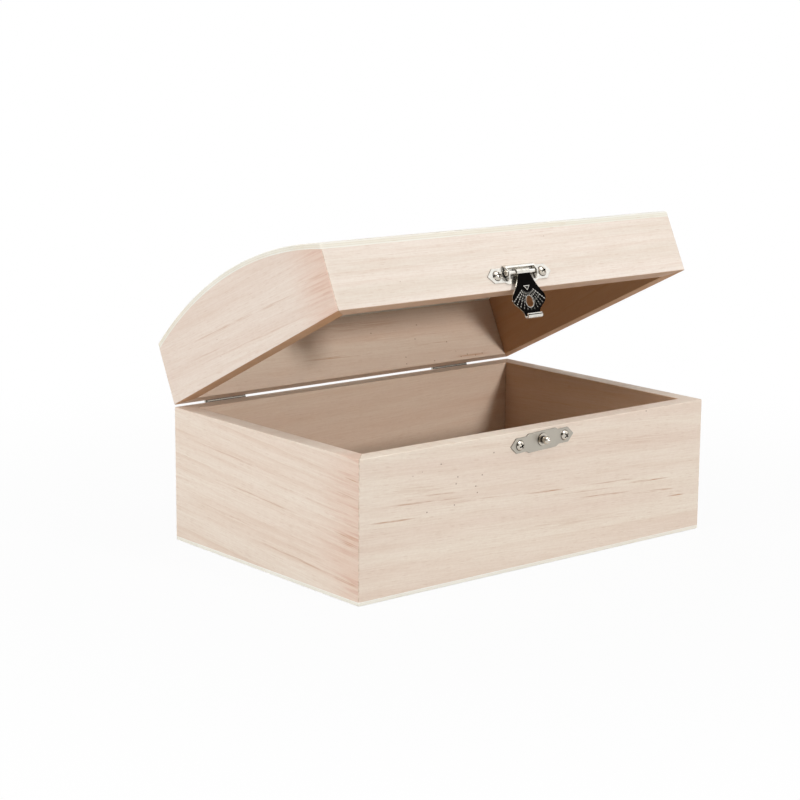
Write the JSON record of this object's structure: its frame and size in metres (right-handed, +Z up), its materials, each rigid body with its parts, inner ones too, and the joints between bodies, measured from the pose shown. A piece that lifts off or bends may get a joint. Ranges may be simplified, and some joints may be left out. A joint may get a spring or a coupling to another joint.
{
  "type": "treasure chest box",
  "caption": "Small unfinished wooden chest with a hinged lid under a curved plywood roof, closed by a stamped metal latch whose flap drops over a ball stud.",
  "frame": {"origin": "On the surface that the chest stands on, under the middle of its floor", "axes": "+X along the long side to the right as seen from the front, +Y towards the hinged back, +Z up; the lid stands open as in the picture"},
  "size_m": [0.2, 0.1492, 0.1443],
  "materials": {
    "long_boards": "bare sanded paulownia, grain along the board",
    "short_boards": "bare sanded paulownia, pinker boards",
    "plywood": "bare sanded thin plywood, plies showing at its edges",
    "nickel_plate": "bright nickel plating on stamped steel",
    "hinge_metal": "nickel plated steel",
    "screw_metal": "bright nickel plated steel screws"
  },
  "bodies": {
    "box": {"floor_panel": "plywood", "front_wall": "long_boards", "right_wall": "short_boards", "back_wall": "long_boards", "left_wall": "short_boards", "left_hinge_box_leaf": "hinge_metal", "right_hinge_box_leaf": "hinge_metal", "left_hinge_pin": "hinge_metal", "right_hinge_pin": "hinge_metal", "hinge_box_screws": "screw_metal", "catch_plate": "nickel_plate", "catch_stud": "nickel_plate", "catch_screws": "screw_metal"},
    "lid": {"lid_front_rail": "long_boards", "lid_right_gable": "short_boards", "lid_back_rail": "long_boards", "lid_left_gable": "short_boards", "lid_roof": "plywood", "left_hinge_lid_leaf": "hinge_metal", "right_hinge_lid_leaf": "hinge_metal", "hinge_lid_screws": "screw_metal", "latch_plate": "nickel_plate", "latch_pin": "nickel_plate", "latch_screws": "screw_metal"},
    "flap": {"latch_flap": "nickel_plate"}
  },
  "joints": [
    {"name": "lid_hinge", "type": "hinge", "parent": "box", "child": "lid", "pos_m": [0, 0.0674, 0.0608], "axis": [-1, 0, 0], "range_deg": [-25.7, 149.3]},
    {"name": "flap_hinge", "type": "hinge", "parent": "lid", "child": "flap", "pos_m": [-0.0005, -0.05117, 0.12596], "axis": [-1, 0, 0], "range_deg": [0, 115]}
  ]
}
